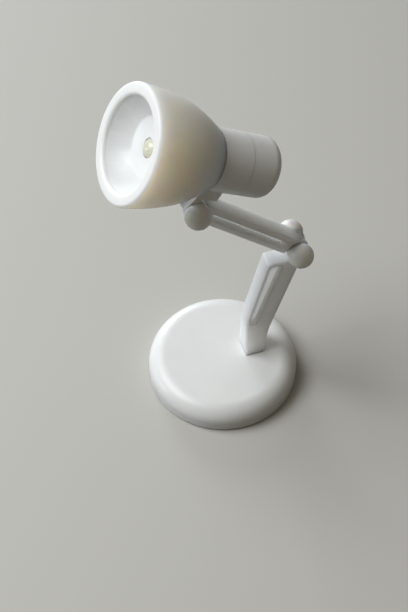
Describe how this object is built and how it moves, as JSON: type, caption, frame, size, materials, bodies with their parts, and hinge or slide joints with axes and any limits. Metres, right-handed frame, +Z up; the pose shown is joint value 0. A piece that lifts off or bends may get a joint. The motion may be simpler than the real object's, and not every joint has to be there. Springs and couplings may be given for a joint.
{
  "type": "flexible desk lamp",
  "caption": "Miniature battery desk lamp with a round weighted base, hinged two-part arm, bell-shaped shade with one LED and a twist-switch end cap.",
  "frame": {"origin": "centre of the base's underside, on the table", "axes": "+Z up; the lamp's head points towards -Y; the hinge pins run along X"},
  "size_m": [0.038, 0.0484, 0.1034],
  "materials": {
    "white_gloss": "smooth moulded",
    "white_reflector": "bright smooth",
    "white_inner": "moulded",
    "foam": "closed-cell foam",
    "steel": "plain",
    "brass": "pressed sheet",
    "nylon": "smooth",
    "clear": "clear cast resin",
    "phosphor": "matt",
    "board": "white laminate",
    "resistor": "matt",
    "ring_rubber": "smooth"
  },
  "bodies": {
    "base": {"base_shell": "white_gloss", "base_cover": "white_inner", "cover_screws": "steel", "base_pad": "foam", "base_weight": "steel", "arm_screw": "steel", "arm_washer": "steel", "lower_arm": "white_gloss", "elbow_pin": "steel", "elbow_caps": "white_gloss", "elbow_washers": "nylon"},
    "upper_arm": {"upper_arm": "white_gloss"},
    "head": {"neck_bracket": "white_gloss", "head_pin": "steel", "head_caps": "white_gloss", "head_washers": "nylon", "shade": "white_gloss", "reflector": "white_reflector", "led_lens": "clear", "led_frame": "steel", "led_die": "phosphor", "led_board": "board", "resistor": "resistor", "front_contact": "brass", "battery_tube": "white_inner", "battery_cells": "steel", "contact_strip": "brass", "cap_ring": "ring_rubber"},
    "end_cap": {"end_cap": "white_gloss", "cap_contact": "brass"}
  },
  "joints": [
    {"name": "elbow", "type": "hinge", "parent": "base", "child": "upper_arm", "pos_m": [0, 0.0176, 0.0451], "axis": [1, 0, 0], "range_deg": [-50, 40]},
    {"name": "head_tilt", "type": "hinge", "parent": "upper_arm", "child": "head", "pos_m": [0, -0.00752, 0.0686], "axis": [1, 0, 0], "range_deg": [-25, 60]},
    {"name": "cap_twist", "type": "hinge", "parent": "head", "child": "end_cap", "pos_m": [0, 0.0045, 0.07751], "axis": [0, 0.8678, -0.497], "range_deg": [0, 40]}
  ]
}
